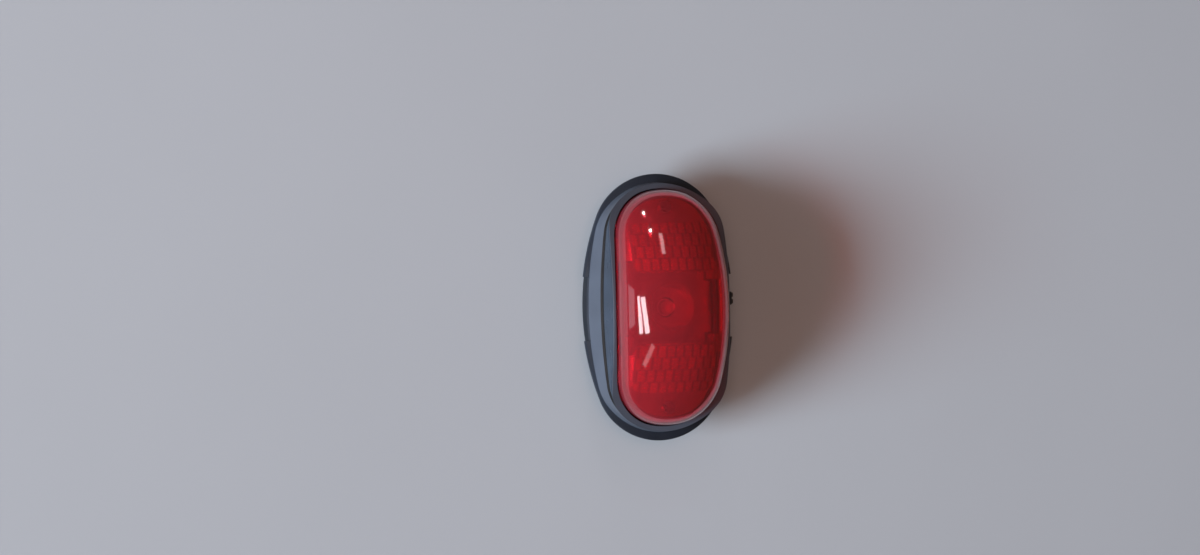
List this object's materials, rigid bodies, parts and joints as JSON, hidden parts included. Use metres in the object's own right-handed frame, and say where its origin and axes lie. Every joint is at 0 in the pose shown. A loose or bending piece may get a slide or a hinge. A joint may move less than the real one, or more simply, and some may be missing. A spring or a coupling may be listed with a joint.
{
  "type": "bicycle rear light",
  "caption": "Oval battery rear light for a bicycle carrier: black two-part housing, domed red lens over reflex panels, side push button, threaded inserts in the back.",
  "frame": {"origin": "centre of the face that the rubber pad on the back rests on", "axes": "+Z is the way the lens faces, +Y runs along the light's long side, +X points to the push button"},
  "size_m": [0.0526, 0.09, 0.037],
  "materials": {
    "satin_black": "satin moulded black",
    "grained_black": "fine grained black",
    "black_rubber": "matt",
    "red_clear_plastic": "polished, clear red",
    "red_prism": "prism grid",
    "mirror_coating": "vacuum plated",
    "board_green": "lacquered",
    "lamp_resin": "water clear red tint",
    "component_black": "moulded",
    "button_black": "satin",
    "cell_wrap": "printed film, plain",
    "plated_steel": "nickel plated",
    "insert_brass": "machined",
    "screw_steel": "zinc plated"
  },
  "bodies": {
    "housing": {"front_frame": "satin_black", "back_tray": "grained_black", "mount_pad": "black_rubber", "case_seal": "black_rubber", "lens_gasket": "black_rubber", "button_seal": "black_rubber", "lens": "red_clear_plastic", "reflex_panel_upper": "red_prism", "reflex_panel_lower": "red_prism", "reflector": "mirror_coating", "circuit_board": "board_green", "main_led": "lamp_resin", "driver_chip": "component_black", "resistors": "component_black", "switch_body": "component_black", "capacitor": "cell_wrap", "battery_cell_left": "cell_wrap", "battery_cell_right": "cell_wrap", "battery_springs": "plated_steel", "terminal_plates": "plated_steel", "bridge_contact": "plated_steel", "threaded_inserts": "insert_brass", "case_screws": "screw_steel", "board_screws": "screw_steel"},
    "button": {"button_cap": "button_black", "switch_plunger": "button_black"}
  },
  "joints": [
    {"name": "button_press", "type": "slide", "parent": "housing", "child": "button", "axis": [-1, 0, 0], "range_m": [0, 0.001], "stiffness_N_per_m": 400, "springref_m": -0.0015}
  ]
}
